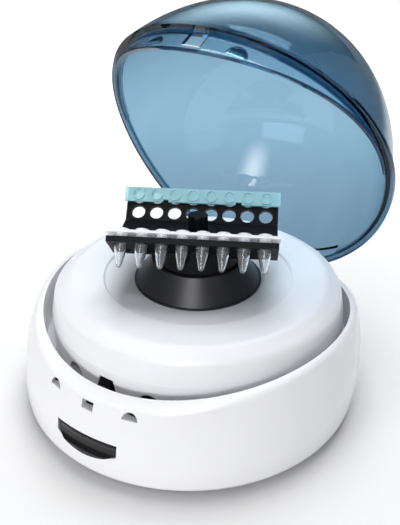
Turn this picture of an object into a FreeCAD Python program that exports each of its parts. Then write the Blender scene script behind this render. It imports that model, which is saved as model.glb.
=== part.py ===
import FreeCAD, Part
import os
import re
import Sketcher

# Strip-tube mini centrifuge: a round white base with a hinged see-through dome, a black rotor for strips
# of small tubes, a motor under it and a push at the front that frees the dome.
# Millimetres and degrees. Origin on the table under the rotor's axis, +Z up, the push at the front on -Y.
# The dome stands open, as the object rests; it is drawn closed and then turned about the hinge.

SIZES = [
    # Feet and bottom plate
    ("foot_height", 2.0), ("foot_radius", 7.0), ("foot_stub", 2.5), ("foot_place", 43.8),
    ("plate_thick", 2.4), ("plate_gap", 0.3), ("vent_length", 22.0), ("vent_width", 2.4),
    ("vent_pitch", 6.0), ("vent_count", 5),
    # Outer housing: a leaning barrel through four rings, its foot further forward than its rim
    ("hem_radius", 81.4), ("hem_shift", 7.3), ("hem_round", 3.2), ("belly_radius", 82.95),
    ("belly_shift", 4.9), ("belly_height", 18.0), ("waist_radius", 81.2), ("waist_shift", 2.6),
    ("waist_height", 34.0), ("crown_radius", 76.3), ("crown_shift", 0.2), ("crown_height", 50.0),
    ("shell_wall", 3.6), ("rim_round", 3.4), ("arch_top", 48.7), ("arch_radius", 271.0),
    ("arch_shift", 5.0), ("groove_radius", 74.4), ("groove_shift", 1.2), ("shelf_height", 27.5),
    ("shelf_thick", 2.0), ("shelf_hole", 66.5), ("ledge_width", 3.0), ("ledge_thick", 2.0),
    # Top cover
    ("cover_radius", 71.0), ("cover_wall", 2.2), ("cover_bend", 44.0), ("shoulder_radius", 69.0),
    ("shoulder_drop", 1.1), ("plateau_radius", 62.0), ("plateau_rise", 3.1),
    ("shoulder_round", 5.0), ("ring_radius", 45.3), ("ring_step", 0.9), ("ring_rise", 2.7),
    ("dish_radius", 31.0), ("dish_height", 55.1), ("dish_hole", 24.0), ("dish_thick", 2.5),
    ("pad_radius", 34.0), ("boss_place", 35.4), ("boss_radius", 4.0), ("boss_bore_depth", 10.0),
    # Motor, its bracket and the cone over it
    ("cone_foot", 30.0), ("cone_lip", 0.8), ("cone_neck", 22.0), ("cone_height", 12.0),
    ("cone_wall", 1.8), ("cone_hole", 8.0), ("spigot_depth", 2.0), ("bracket_radius", 30.0),
    ("bracket_thick", 2.4), ("bracket_hole", 6.0), ("can_radius", 18.0), ("can_length", 36.0),
    ("can_wall", 1.2), ("can_round", 1.5), ("magnet_inner", 13.2), ("magnet_length", 24.0),
    ("magnet_rise", 5.0), ("armature_radius", 12.4), ("armature_length", 22.0), ("armature_slot", 2.4),
    ("armature_slot_depth", 6.0), ("armature_poles", 5), ("endcap_thick", 3.0), ("tab_length", 4.0),
    ("bush_radius", 4.5), ("bush_length", 4.0), ("shaft_radius", 2.0), ("shaft_fit", 0.03),
    ("press_fit", 0.01), ("glue_gap", 0.05),
    # Rotor
    ("rotor_turn", 27.4), ("rotor_length", 75.0), ("floor_height", 77.3), ("rotor_wall", 2.6),
    ("bend_place", 14.6), ("wing_rise", 11.9), ("wing_angle", 45.0), ("row_place", 4.3),
    ("row_pitch", 8.0), ("tube_pitch", 9.0), ("tube_count", 8), ("hole_radius", 3.35),
    ("drum_radius", 20.5), ("drum_gap", 0.8), ("drum_wall", 2.5), ("rotor_boss_radius", 8.3),
    ("rotor_boss_height", 2.6), ("knob_radius", 4.75), ("knob_height", 8.6), ("knob_flutes", 6),
    ("flute_radius", 1.9), ("flute_depth", 0.9), ("knob_round", 0.8), ("hub_radius", 6.0),
    ("hub_length", 6.4), ("shaft_grip", 5.0), ("shaft_tail", 1.2),
    # Strips of tubes and their caps
    ("tube_radius", 3.05), ("tube_waist", 2.75), ("tube_waist_depth", 5.0), ("tube_tip", 1.3),
    ("tube_depth", 12.9), ("tube_wall", 0.45), ("tube_neck", 2.2), ("collar_radius", 3.7),
    ("collar_thick", 1.0), ("web_width", 2.6), ("cap_length", 76.5), ("cap_width", 7.2),
    ("cap_thick", 1.2), ("cap_radius", 3.1), ("cap_rise", 1.1), ("cap_dish", 2.3),
    ("plug_radius", 2.55), ("plug_depth", 1.4), ("notch_place", 18.0),
    ("notch_width", 3.0), ("notch_depth", 1.3),
    # Dome
    ("dome_radius", 77.1), ("dome_rise", 97.0), ("dome_centre", 25.0), ("dome_shift", 3.4),
    ("dome_lean", 5.7), ("dome_wall", 2.2), ("seat_gap", 0.4), ("bead_radius", 76.1),
    ("bead_inner", 73.4), ("bead_height", 2.6), ("lip_outer", 73.2), ("lip_inner", 71.6),
    ("lip_arc", 130.0), ("lug_place", 20.0), ("lug_radius", 3.9), ("lug_height", 32.8),
    ("lug_proud", 0.6), ("catch_half", 4.4), ("catch_low", 32.4),
    ("catch_high", 39.8),
    # Hinge at the rear
    ("hinge_place", 66.8), ("hinge_height", 44.3), ("open_angle", 64.0), ("pin_radius", 1.5),
    ("pin_fit", 0.05), ("eye_radius", 3.5), ("ear_place", 12.0), ("ear_half", 3.5), ("ear_room", 0.5),
    ("ear_root_low", 48.5), ("ear_root_high", 54.0), ("hinge_half", 20.5), ("hinge_back", 58.0),
    ("hinge_wall", 2.5), ("hinge_plate_half", 34.0), ("hinge_foot_place", 26.5),
    ("hinge_foot_half", 4.2), ("hinge_foot_back", 65.8), ("hinge_foot_thick", 2.5),
    ("hinge_screw_back", 63.1), ("alcove_drop", 3.6), ("alcove_room", 0.3), ("alcove_side", 3.1),
    ("gap_half", 34.0), ("gap_top", 47.8), ("relief_half", 46.0),
    # Front push, its latch and spring
    ("push_half", 15.8), ("push_top", 21.2), ("push_low", 12.3), ("push_arc", 34.0),
    ("push_room", 0.4), ("push_proud", 0.8), ("push_rim", 1.4), ("push_inset", 6.9),
    ("push_rim_thick", 1.6), ("scoop_radius", 6.0), ("scoop_depth", 1.6), ("scoop_drop", 2.4),
    ("push_travel", 2.5),
    ("slide_half", 11.0), ("slide_thick", 2.5), ("slide_height", 11.5), ("slide_room", 0.2),
    ("rail_width", 3.0), ("mast_half", 3.6), ("mast_thick", 3.0), ("mast_place", 61.5),
    ("nose_half", 3.0), ("nose_reach", 73.6), ("nose_low", 33.2), ("nose_high", 39.2),
    ("nose_ramp", 2.4), ("bar_half", 22.5), ("bar_low", 28.5),
    ("spring_radius", 2.8), ("spring_wire", 0.4), ("spring_turns", 5),
    ("spring_height", 19.0), ("spring_length", 10.0), ("spring_room", 0.1), ("stop_thick", 3.0),
    ("stop_half", 5.0),
    # Openings beside the rim
    ("slot_low", 32.4), ("slot_high", 40.2), ("slot_foot", 5.2), ("slot_head", 3.6),
    ("window_half", 3.0), ("window_low", 32.6), ("window_high", 36.4), ("window_moon", 3.4),
    ("window_moon_height", 34.0), ("slot_moon", 4.9), ("slot_moon_height", 33.0),
    # Connections at the rear
    ("rear_flat", 75.2), ("rear_wall", 5.0), ("rear_half", 20.0), ("rear_room", 0.5),
    ("rear_flange", 1.4), ("jack_place", 12.0), ("jack_height", 16.5),
    ("jack_radius", 5.5), ("jack_bore", 2.8), ("jack_pin", 1.0), ("jack_length", 15.0),
    ("jack_depth", 10.0), ("jack_flange", 6.8), ("nut_radius", 7.4), ("nut_thick", 2.4),
    ("rocker_place", 8.5), ("rocker_half_wide", 4.4), ("rocker_half_tall", 6.0), ("rocker_wall", 1.4),
    ("rocker_rim", 1.0), ("rocker_depth", 14.0), ("rocker_well", 10.0), ("rocker_room", 0.4),
    ("rocker_axle", 1.2), ("rocker_axle_depth", 4.5), ("rocker_proud", 2.0), ("rocker_dip", 0.9),
    ("rocker_angle", 9.0), ("rocker_short", 1.1),
    # Control board
    ("board_left", 24.0), ("board_right", 54.0), ("board_front", -18.0), ("board_rear", 28.0),
    ("board_thick", 1.6), ("board_height", 12.0), ("post_radius", 2.8), ("post_inset", 4.0),
    ("chip_half", 4.0), ("chip_tall", 1.8), ("drum_cap_radius", 4.0), ("drum_cap_tall", 11.0),
    # Screws
    ("screw_radius", 1.2), ("screw_head", 2.4), ("screw_head_height", 1.6), ("screw_slot", 0.7),
    ("screw_slot_depth", 0.6), ("screw_length", 9.0), ("screw_room", 0.3), ("thread_room", 0.05),
    ("short_screw", 4.2), ("short_bore", 2.1), ("bracket_screw_place", 27.0),
    ("motor_screw_place", 11.0), ("motor_screw_length", 3.4), ("hinge_screw_length", 6.0),
    ("board_screw_length", 6.0),
]

document = FreeCAD.newDocument("mini_centrifuge")
sheet = document.addObject("Spreadsheet::Sheet", "Size")
for row, (alias, value) in enumerate(SIZES, start=1):
    sheet.set("A%d" % row, alias)
    sheet.set("B%d" % row, str(value))
    sheet.setAlias("B%d" % row, alias)
document.recompute()

ALIASES = {alias for alias, value in SIZES}
X_AXIS = FreeCAD.Vector(1, 0, 0)
MINUS_X = FreeCAD.Vector(-1, 0, 0)
Y_AXIS = FreeCAD.Vector(0, 1, 0)
Z_AXIS = FreeCAD.Vector(0, 0, 1)
PIECES = []


# A length is written as a sum of sheet names; here it becomes an expression or a number

def sheet_name(word):
    return "Size." + word if word in ALIASES else word


def tied(words):
    return re.sub(r"[a-z_]{3,}", lambda found: sheet_name(found.group(0)), str(words))


def size(words):
    return float(sheet.evalExpression(tied(words)))


def vector(x, y, z):
    return FreeCAD.Vector(size(x), size(y), size(z))


def bind(made, **places):
    for key, words in places.items():
        made.setExpression(key.replace("__", "."), tied(words))
    return made


def keep(piece, label):
    piece.Label = label
    PIECES.append(piece)
    return piece


# Sketches and features inside a body

def new_body(name):
    return document.addObject("PartDesign::Body", name)


def plane_of(body, role):
    return [datum for datum in body.Origin.OriginFeatures if datum.Role == role][0]


def new_sketch(body, name, role="XY_Plane", lift="0", across="0", along="0"):
    sketch = body.newObject("Sketcher::SketchObject", name)
    sketch.AttachmentSupport = [(plane_of(body, role), "")]
    sketch.MapMode = "FlatFace"
    bind(sketch, AttachmentOffset__Base__x=across, AttachmentOffset__Base__y=along,
         AttachmentOffset__Base__z=lift)
    return sketch


def hold(sketch, kind, geometry, point, words):
    value = size(words)
    if kind == "Radius":
        index = sketch.addConstraint(Sketcher.Constraint(kind, geometry, value))
    else:
        index = sketch.addConstraint(Sketcher.Constraint(kind, geometry, point, value))
    if ALIASES.intersection(re.findall(r"[a-z_]{3,}", str(words))):
        sketch.setExpression("Constraints[%d]" % index, tied(words))


def add_circle(sketch, radius, x="0", y="0"):
    circle = Part.Circle(vector(x, y, "0"), Z_AXIS, size(radius))
    index = sketch.addGeometry(circle)
    hold(sketch, "Radius", index, 0, radius)
    hold(sketch, "DistanceX", index, 3, x)
    hold(sketch, "DistanceY", index, 3, y)


def add_outline(sketch, corners):
    points = [vector(x, y, "0") for x, y in corners]
    first = sketch.GeometryCount
    for start, end in zip(points, points[1:] + points[:1]):
        sketch.addGeometry(Part.LineSegment(start, end))
    for index, (x, y) in enumerate(corners):
        line = first + index
        follower = first + (index + 1) % len(corners)
        sketch.addConstraint(Sketcher.Constraint("Coincident", line, 2, follower, 1))
        hold(sketch, "DistanceX", line, 1, x)
        hold(sketch, "DistanceY", line, 1, y)


def add_box(sketch, left, right, low, high):
    add_outline(sketch, [(left, low), (right, low), (right, high), (left, high)])


def feature(body, kind, name, **values):
    made = body.newObject("PartDesign::" + kind, name)
    for key, value in values.items():
        if isinstance(value, str) and key not in ("Type", "Mode", "SideType"):
            made.setExpression(key, tied(value))
        else:
            setattr(made, key, value)
    document.recompute()
    return made


def pad(body, sketch, length, **more):
    return feature(body, "Pad", sketch.Name + "_pad", Profile=sketch, Length=length, **more)


def pocket(body, sketch, length, **more):
    before = body.Shape.Volume
    made = feature(body, "Pocket", sketch.Name + "_pocket", Profile=sketch, Length=length, **more)
    if not body.Shape.Volume < before:
        raise RuntimeError(sketch.Name + " cuts nothing")
    return made


def revolve(body, corners, name, across="0"):
    sketch = new_sketch(body, name, "XZ_Plane", across=across)
    add_outline(sketch, corners)
    return feature(body, "Revolution", name + "_turned", Profile=sketch,
                   ReferenceAxis=(sketch, ["V_Axis"]), Angle=360)


def repeat_polar(body, original, count, name):
    made = feature(body, "PolarPattern", name, Originals=[original],
                   Axis=(plane_of(body, "Z_Axis"), [""]), Angle=360, Occurrences=int(size(count)))
    body.Tip = made
    document.recompute()
    return made


def repeat_row(body, original, length, count, name, role="X_Axis"):
    made = feature(body, "LinearPattern", name, Originals=[original],
                   Direction=(plane_of(body, role), [""]), Length=length, Occurrences=int(size(count)))
    body.Tip = made
    document.recompute()
    return made


def round_edges(body, radius, name, wanted):
    tip = body.Tip
    names = ["Edge%d" % (index + 1) for index, edge in enumerate(tip.Shape.Edges) if wanted(edge)]
    if not names:
        raise RuntimeError(name + " finds no edge")
    return feature(body, "Fillet", name, Base=(tip, names), Radius=radius)


def level_ring(radius, height):
    def wanted(edge):
        if not isinstance(edge.Curve, Part.Circle):
            return False
        level = abs(edge.Curve.Center.z - size(height)) < 0.05
        return level and abs(edge.Curve.Radius - size(radius)) < 0.05
    return wanted


# Solids outside bodies

def block(name, left, right, front, back, low, high):
    made = document.addObject("Part::Box", name)
    return bind(made, Length="(%s) - (%s)" % (right, left), Width="(%s) - (%s)" % (back, front),
                Height="(%s) - (%s)" % (high, low), Placement__Base__x=left, Placement__Base__y=front,
                Placement__Base__z=low)


def upright(name, radius, low, high, x="0", y="0"):
    made = document.addObject("Part::Cylinder", name)
    return bind(made, Radius=radius, Height="(%s) - (%s)" % (high, low), Placement__Base__x=x,
                Placement__Base__y=y, Placement__Base__z=low)


def lying(name, radius, left, right, y, z):
    made = document.addObject("Part::Cylinder", name)
    made.Placement.Rotation = FreeCAD.Rotation(Y_AXIS, 90)
    return bind(made, Radius=radius, Height="(%s) - (%s)" % (right, left), Placement__Base__x=left,
                Placement__Base__y=y, Placement__Base__z=z)


def pointing(name, radius, front, back, x, z):
    made = document.addObject("Part::Cylinder", name)
    made.Placement.Rotation = FreeCAD.Rotation(X_AXIS, -90)
    return bind(made, Radius=radius, Height="(%s) - (%s)" % (back, front), Placement__Base__x=x,
                Placement__Base__y=front, Placement__Base__z=z)


def cut(name, base, tool):
    made = document.addObject("Part::Cut", name)
    made.Base = base
    made.Tool = tool
    return made


def common(name, *shapes):
    made = document.addObject("Part::MultiCommon", name)
    made.Shapes = list(shapes)
    return made


def fuse(name, *shapes):
    made = document.addObject("Part::MultiFuse", name)
    made.Shapes = list(shapes)
    return made


def group(name, shapes):
    made = document.addObject("Part::Compound", name)
    made.Links = list(shapes)
    return made


def prism(name, corners, left, right):
    # An outline of Y and Z drawn along X
    body = new_body(name)
    sketch = new_sketch(body, name + "_outline", "YZ_Plane", left)
    add_outline(sketch, corners)
    pad(body, sketch, "(%s) - (%s)" % (right, left))
    return body


def spun(name, shape):
    # A piece drawn along X and turned to where the rotor stands
    made = group(name, [shape])
    made.Placement.Rotation = FreeCAD.Rotation(Z_AXIS, 1)
    return bind(made, Placement__Rotation__Angle="rotor_turn * 1 deg")


def arch_cylinder(name, extra):
    # The long saddle that parts the dome from the base
    return lying(name, "arch_radius + " + extra, "-hem_radius * 1.2", "hem_radius * 1.2",
                 "-arch_shift", "arch_top - arch_radius")


def screw(name, x, y, seat, length, head_up):
    # A slotted screw; its head rests on the seat and its shank goes the other way
    if head_up:
        head = (seat, "%s + screw_head_height" % seat)
        shank = ("%s - %s" % (seat, length), "%s + screw_head_height / 2" % seat)
        slot = ("%s - screw_slot_depth" % head[1], "%s + 1" % head[1])
    else:
        head = ("%s - screw_head_height" % seat, seat)
        shank = ("%s - screw_head_height / 2" % seat, "%s + %s" % (seat, length))
        slot = ("%s - 1" % head[0], "%s + screw_slot_depth" % head[0])
    solid = fuse(name + "_solid", upright(name + "_head", "screw_head", head[0], head[1], x, y),
                 upright(name + "_shank", "screw_radius", shank[0], shank[1], x, y))
    groove = block(name + "_slot", "%s - screw_head * 1.2" % x, "%s + screw_head * 1.2" % x,
                   "%s - screw_slot / 2" % y, "%s + screw_slot / 2" % y, slot[0], slot[1])
    return cut(name, solid, groove)


CORNERS = [("1", "1"), ("-1", "1"), ("-1", "-1"), ("1", "-1")]


def corner_place(words, across, along):
    return "%s * (%s)" % (across, words), "%s * (%s)" % (along, words)


def board_corner(across, along):
    x = "board_right - post_inset" if across == "1" else "board_left + post_inset"
    y = "board_rear - post_inset" if along == "1" else "board_front + post_inset"
    return x, y


PLATE_TOP = "foot_height + plate_thick"
PUSH_FRONT = "belly_radius + belly_shift - push_inset"
PLATE_RADIUS = "hem_radius - shell_wall - plate_gap"
DISH_UNDER = "dish_height - dish_thick"
CAN_TOP = "dish_height - dish_thick - bracket_thick"
CAN_LOW = "dish_height - dish_thick - bracket_thick - can_length"
CONE_TOP = "dish_height + cone_height"
ROTOR_UNDER = "floor_height - rotor_wall"
KNOB_FOOT = "floor_height + rotor_boss_height"


# Outer housing

def barrel(name, grow):
    body = new_body(name)
    rings = []
    for word, height in (("hem", "foot_height"), ("belly", "belly_height"), ("waist", "waist_height"),
                         ("crown", "crown_height")):
        ring = new_sketch(body, name + "_" + word, lift=height)
        add_circle(ring, "%s_radius + %s" % (word, grow), y="-%s_shift" % word)
        rings.append(ring)
    feature(body, "AdditiveLoft", name + "_wall", Profile=rings[0],
            Sections=[(ring, [""]) for ring in rings[1:]])
    return body


def half_moons(name, radius, height, inner, outer):
    # Two half-moons at the front, left and right of the latch
    halves = []
    for word, side in (("left", "-"), ("right", "")):
        disc = pointing("%s_%s_disc" % (name, word), radius, "-(%s)" % outer,
                        "-(%s)" % inner, side + "lug_place", height)
        upper = block("%s_%s_upper" % (name, word), side + "lug_place - %s * 2" % radius,
                      side + "lug_place + %s * 2" % radius, "-(%s) - 1" % outer, "1 - (%s)" % inner,
                      height, "%s + %s * 2" % (height, radius))
        halves.append(common("%s_%s" % (name, word), disc, upper))
    return fuse(name, *halves)


def crescent(name, room, front, back):
    # The outline of the push: straight above, rounded below
    below = pointing(name + "_round", "push_arc + " + room, front, back, "0", "push_low + push_arc")
    above = block(name + "_box", "-push_half - " + room, "push_half + " + room, front, back,
                  "push_low - push_arc", "push_top + " + room)
    return common(name, below, above)


def rim_edges(shape):
    # The long edge of the barrel on the saddle
    centre = vector("0", "-arch_shift", "arch_top - arch_radius")
    found = []
    for index, edge in enumerate(shape.Edges, start=1):
        middles = [FreeCAD.Vector(0, p.y - centre.y, p.z - centre.z).Length for p in edge.discretize(7)]
        if all(abs(distance - size("arch_radius")) < 0.02 for distance in middles):
            found.append(index)
    return found


def hem_edges(shape):
    # The round edge that the barrel stands on
    foot = size("foot_height")
    return [index for index, edge in enumerate(shape.Edges, start=1) if abs(edge.BoundBox.ZMax - foot) < 0.01]


def rocker_recess(name):
    # The flat in the wall where the power socket and the switch sit
    reach = "rocker_half_tall + rocker_wall + rocker_rim + rear_room"
    return block(name, "-rear_half - 2", "rear_half + 2", "rear_flat", "hem_radius + 4",
                 "jack_height - (%s)" % reach, "jack_height + " + reach)


def make_base_housing():
    form = barrel("housing_form", "0")
    arched = common("housing_arched", form, arch_cylinder("housing_arch", "0"))
    document.recompute()
    rounded = document.addObject("Part::Fillet", "housing_rounded")
    rounded.Base = arched
    rims = [(edge, size("rim_round"), size("rim_round")) for edge in rim_edges(arched.Shape)]
    hems = [(edge, size("hem_round"), size("hem_round")) for edge in hem_edges(arched.Shape)]
    rounded.Edges = rims + hems
    room = block("housing_room", "-hem_radius * 2", "hem_radius * 2", "-hem_radius * 2", "hem_radius * 2",
                 PLATE_TOP + " + ledge_thick", "shelf_height - shelf_thick")
    boss = block("housing_rear_boss", "-rear_half", "rear_half", "rear_flat - rear_wall", "hem_radius * 2",
                 PLATE_TOP, "shelf_height")
    core = cut("housing_core", common("housing_room_walls", barrel("housing_inner", "(-shell_wall)"), room),
               boss)
    recess = upright("housing_plate_seat", PLATE_RADIUS + " + plate_gap", "0", PLATE_TOP,
                     y="-hem_shift")
    ledge = upright("housing_ledge", PLATE_RADIUS + " - ledge_width", PLATE_TOP,
                    PLATE_TOP + " + ledge_thick", y="-hem_shift")
    shelf = upright("housing_shelf", "shelf_hole", "shelf_height - shelf_thick", "shelf_height")
    groove = upright("housing_groove", "groove_radius", "shelf_height", "arch_top + rim_round",
                     y="-groove_shift")
    hollow = cut("housing_hollow", rounded, fuse("housing_tools", core, recess, ledge, shelf, groove))
    front = "-hem_radius - hem_shift - 4"
    openings = [
        crescent("housing_push", "push_room", front, "4 - (%s)" % PUSH_FRONT),
        block("housing_window", "-window_half", "window_half", front, "-groove_radius + 4", "window_low",
              "window_high"),
        half_moons("housing_lug", "window_moon", "window_moon_height", "lip_inner - 6",
                   "hem_radius + hem_shift"),
        rocker_recess("housing_recess"),
        pointing("housing_jack", "jack_radius + screw_room", "rear_flat - 6", "rear_flat + 4",
                 "-jack_place", "jack_height"),
        block("housing_rocker", "rocker_place - rocker_half_wide - rocker_wall - screw_room",
              "rocker_place + rocker_half_wide + rocker_wall + screw_room", "rear_flat - 6",
              "rear_flat + 4", "jack_height - rocker_half_tall - rocker_wall - screw_room",
              "jack_height + rocker_half_tall + rocker_wall + screw_room"),
    ]
    for side in ("-", ""):
        openings.append(upright("housing_hinge_hole" + side.replace("-", "_left"),
                                "screw_radius + thread_room", "shelf_height - shelf_thick - 1",
                                "shelf_height + 1", side + "hinge_foot_place", "hinge_screw_back"))
    return keep(cut("housing", hollow, fuse("housing_openings", *openings)), "base_housing")


# Bottom plate and feet

def make_bottom_plate():
    body = new_body("plate")
    disc = new_sketch(body, "plate_disc", lift="foot_height")
    add_circle(disc, PLATE_RADIUS, y="-hem_shift")
    pad(body, disc, "plate_thick")
    posts = new_sketch(body, "plate_posts", lift="foot_height + plate_thick / 2")
    for across, along in CORNERS:
        add_circle(posts, "post_radius", *board_corner(across, along))
    pad(body, posts, "board_height - foot_height - plate_thick / 2")
    stop = new_sketch(body, "plate_stop", lift="foot_height + plate_thick / 2")
    add_box(stop, "-stop_half", "stop_half", "-mast_place + spring_length",
            "-mast_place + spring_length + stop_thick")
    pad(body, stop, "spring_height + spring_radius + spring_wire - foot_height")
    rails = new_sketch(body, "plate_rails", lift="foot_height + plate_thick / 2")
    for near, far in (("-slide_half", "-slide_half + rail_width"),
                      ("slide_half - rail_width", "slide_half")):
        add_box(rails, near, far, "push_rim_thick + 1 - (%s)" % PUSH_FRONT, "-mast_place + push_travel")
    pad(body, rails, "slide_height - slide_room - foot_height - plate_thick / 2")
    holes = new_sketch(body, "plate_holes", lift="foot_height")
    for across, along in CORNERS:
        add_circle(holes, "screw_radius + screw_room", *corner_place("boss_place", across, along))
        add_circle(holes, "foot_stub + press_fit", *corner_place("foot_place", across, along))
    pocket(body, holes, "plate_thick", Reversed=True)
    bores = new_sketch(body, "plate_bores", lift="board_height")
    for across, along in CORNERS:
        add_circle(bores, "screw_radius + thread_room", *board_corner(across, along))
    pocket(body, bores, "board_screw_length - board_thick + 1")
    vents = new_sketch(body, "plate_vents", lift="foot_height")
    add_box(vents, "-vent_length / 2", "vent_length / 2",
            "-vent_pitch * (vent_count - 1) / 2 - vent_width / 2",
            "-vent_pitch * (vent_count - 1) / 2 + vent_width / 2")
    slit = pocket(body, vents, "plate_thick", Reversed=True)
    repeat_row(body, slit, "vent_pitch * (vent_count - 1)", "vent_count", "plate_vent_row", "Y_Axis")
    return keep(body, "bottom_plate")


def make_rubber_feet():
    feet = []
    for index, (across, along) in enumerate(CORNERS):
        x, y = corner_place("foot_place", across, along)
        sole = upright("foot_sole_%d" % index, "foot_radius", "0", "foot_height", x, y)
        stub = upright("foot_stub_%d" % index, "foot_stub", "foot_height / 2", PLATE_TOP, x, y)
        feet.append(fuse("foot_%d" % index, sole, stub))
    return keep(group("feet", feet), "rubber_feet")


# Top cover with its sunk ring, its screw bosses and the slots for the latch

def make_top_cover():
    body = new_body("cover")
    revolve(body, [
        ("dish_hole", DISH_UNDER), ("dish_hole", "dish_height"), ("dish_radius", "dish_height"),
        ("ring_radius - ring_step / 2", "dish_height + ring_rise - ring_step"),
        ("ring_radius + ring_step / 2", "dish_height + ring_rise"),
        ("plateau_radius", "dish_height + plateau_rise"),
        ("shoulder_radius", "dish_height - shoulder_drop"), ("cover_radius", "cover_bend"),
        ("cover_radius", "shelf_height"), ("cover_radius - cover_wall", "shelf_height"),
        ("cover_radius - cover_wall", "cover_bend - cover_wall / 3"),
        ("shoulder_radius - cover_wall", "dish_height - shoulder_drop - cover_wall / 2"),
        ("plateau_radius - cover_wall / 4", "dish_height + plateau_rise - cover_wall"),
        ("pad_radius", DISH_UNDER)], "cover_profile")

    def on_shoulder(edge):
        return (level_ring("plateau_radius", "dish_height + plateau_rise")(edge)
                or level_ring("shoulder_radius", "dish_height - shoulder_drop")(edge))
    round_edges(body, "shoulder_round", "cover_shoulder", on_shoulder)
    bosses = new_sketch(body, "cover_bosses", lift=PLATE_TOP)
    for across, along in CORNERS:
        add_circle(bosses, "boss_radius", *corner_place("boss_place", across, along))
    pad(body, bosses, "dish_height - foot_height - plate_thick")
    bores = new_sketch(body, "cover_bores", lift=PLATE_TOP)
    for across, along in CORNERS:
        add_circle(bores, "screw_radius + thread_room", *corner_place("boss_place", across, along))
    pocket(body, bores, "boss_bore_depth", Reversed=True)
    blind = new_sketch(body, "cover_blind", lift=DISH_UNDER)
    add_circle(blind, "screw_radius + thread_room", "bracket_screw_place")
    hole = pocket(body, blind, "short_bore", Reversed=True)
    repeat_polar(body, hole, "3", "cover_blind_ring")
    slot = new_sketch(body, "cover_slot", "XZ_Plane", "cover_radius + 1")
    add_outline(slot, [("-slot_foot", "slot_low"), ("slot_foot", "slot_low"),
                       ("slot_head", "slot_high"), ("-slot_head", "slot_high")])
    pocket(body, slot, "cover_wall * 3")
    alcove = block("cover_alcove", "-hinge_plate_half - alcove_side", "hinge_plate_half + alcove_side",
                   "hinge_back - alcove_room", "cover_radius + 5", "shelf_height - 5",
                   "dish_height - alcove_drop")
    moons = half_moons("cover_lug", "slot_moon", "slot_moon_height", "lip_inner - 10", "lip_outer")
    tools = fuse("cover_tools", alcove, moons)
    return keep(cut("cover_open", body, tools), "top_cover")


# Motor and its bracket

def make_motor_bracket():
    body = new_body("bracket")
    disc = new_sketch(body, "bracket_disc", lift=CAN_TOP)
    add_circle(disc, "bracket_radius")
    add_circle(disc, "bracket_hole")
    pad(body, disc, "bracket_thick")
    ears = new_sketch(body, "bracket_motor_holes", lift=CAN_TOP)
    for side in ("-", ""):
        add_circle(ears, "screw_radius + screw_room", side + "motor_screw_place")
    pocket(body, ears, "bracket_thick", Reversed=True)
    rim = new_sketch(body, "bracket_hole", lift=CAN_TOP)
    add_circle(rim, "screw_radius + screw_room", "bracket_screw_place")
    hole = pocket(body, rim, "bracket_thick", Reversed=True)
    repeat_polar(body, hole, "3", "bracket_hole_ring")
    return keep(body, "motor_bracket")


def make_motor_can():
    body = new_body("can")
    revolve(body, [("bush_radius + press_fit", CAN_TOP), ("can_radius", CAN_TOP), ("can_radius", CAN_LOW),
                   ("can_radius - can_wall", CAN_LOW), ("can_radius - can_wall", CAN_TOP + " - can_wall"),
                   ("bush_radius + press_fit", CAN_TOP + " - can_wall")], "can_profile")
    round_edges(body, "can_round", "can_shoulder", level_ring("can_radius", CAN_TOP))
    holes = new_sketch(body, "can_holes", lift=CAN_TOP)
    for side in ("-", ""):
        add_circle(holes, "screw_radius + thread_room", side + "motor_screw_place")
    pocket(body, holes, "can_wall * 2")
    return keep(body, "motor_can")


def make_motor_endcap():
    body = new_body("endcap")
    revolve(body, [("bush_radius + press_fit", CAN_LOW), ("can_radius - can_wall - glue_gap", CAN_LOW),
                   ("can_radius - can_wall - glue_gap", CAN_LOW + " + endcap_thick"),
                   ("bush_radius + press_fit", CAN_LOW + " + endcap_thick")], "endcap_profile")
    tabs = new_sketch(body, "endcap_tabs", lift=CAN_LOW + " + endcap_thick / 2")
    add_box(tabs, "bush_radius * 2", "bush_radius * 2 + 0.8", "-1.5", "1.5")
    add_box(tabs, "-bush_radius * 2 - 0.8", "-bush_radius * 2", "-1.5", "1.5")
    pad(body, tabs, "tab_length + endcap_thick / 2", Reversed=True)
    return keep(body, "motor_endcap")


def ring(name, label, outer, inner, low, high):
    body = new_body(name)
    revolve(body, [(inner, low), (outer, low), (outer, high), (inner, high)], name + "_profile")
    return keep(body, label)


def make_motor_rings():
    ring("magnet", "magnet_ring", "can_radius - can_wall - glue_gap", "magnet_inner",
         CAN_LOW + " + magnet_rise", CAN_LOW + " + magnet_rise + magnet_length")
    ring("bush_top", "upper_bushing", "bush_radius", "shaft_radius + shaft_fit",
         CAN_TOP + " - bush_length + can_wall", CAN_TOP + " + can_wall")
    ring("bush_low", "lower_bushing", "bush_radius", "shaft_radius + shaft_fit",
         CAN_LOW + " - can_wall / 2", CAN_LOW + " - can_wall / 2 + bush_length")
    ring("hub", "drive_hub", "hub_radius", "shaft_radius + press_fit", ROTOR_UNDER + " - hub_length",
         ROTOR_UNDER)


def make_motor_armature():
    body = new_body("armature")
    low = CAN_LOW + " + magnet_rise + (magnet_length - armature_length) / 2"
    revolve(body, [("shaft_radius + press_fit", low), ("armature_radius", low),
                   ("armature_radius", low + " + armature_length"),
                   ("shaft_radius + press_fit", low + " + armature_length")], "armature_profile")
    slot = new_sketch(body, "armature_slot", lift=low)
    add_box(slot, "armature_radius - armature_slot_depth", "armature_radius + 1", "-armature_slot / 2",
            "armature_slot / 2")
    gap = pocket(body, slot, "armature_length", Reversed=True)
    repeat_polar(body, gap, "armature_poles", "armature_slots")
    return keep(body, "motor_armature")


def make_motor_shaft():
    shaft = upright("shaft", "shaft_radius", CAN_LOW + " - shaft_tail",
                    KNOB_FOOT + " + shaft_grip - press_fit")
    return keep(shaft, "motor_shaft")


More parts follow.
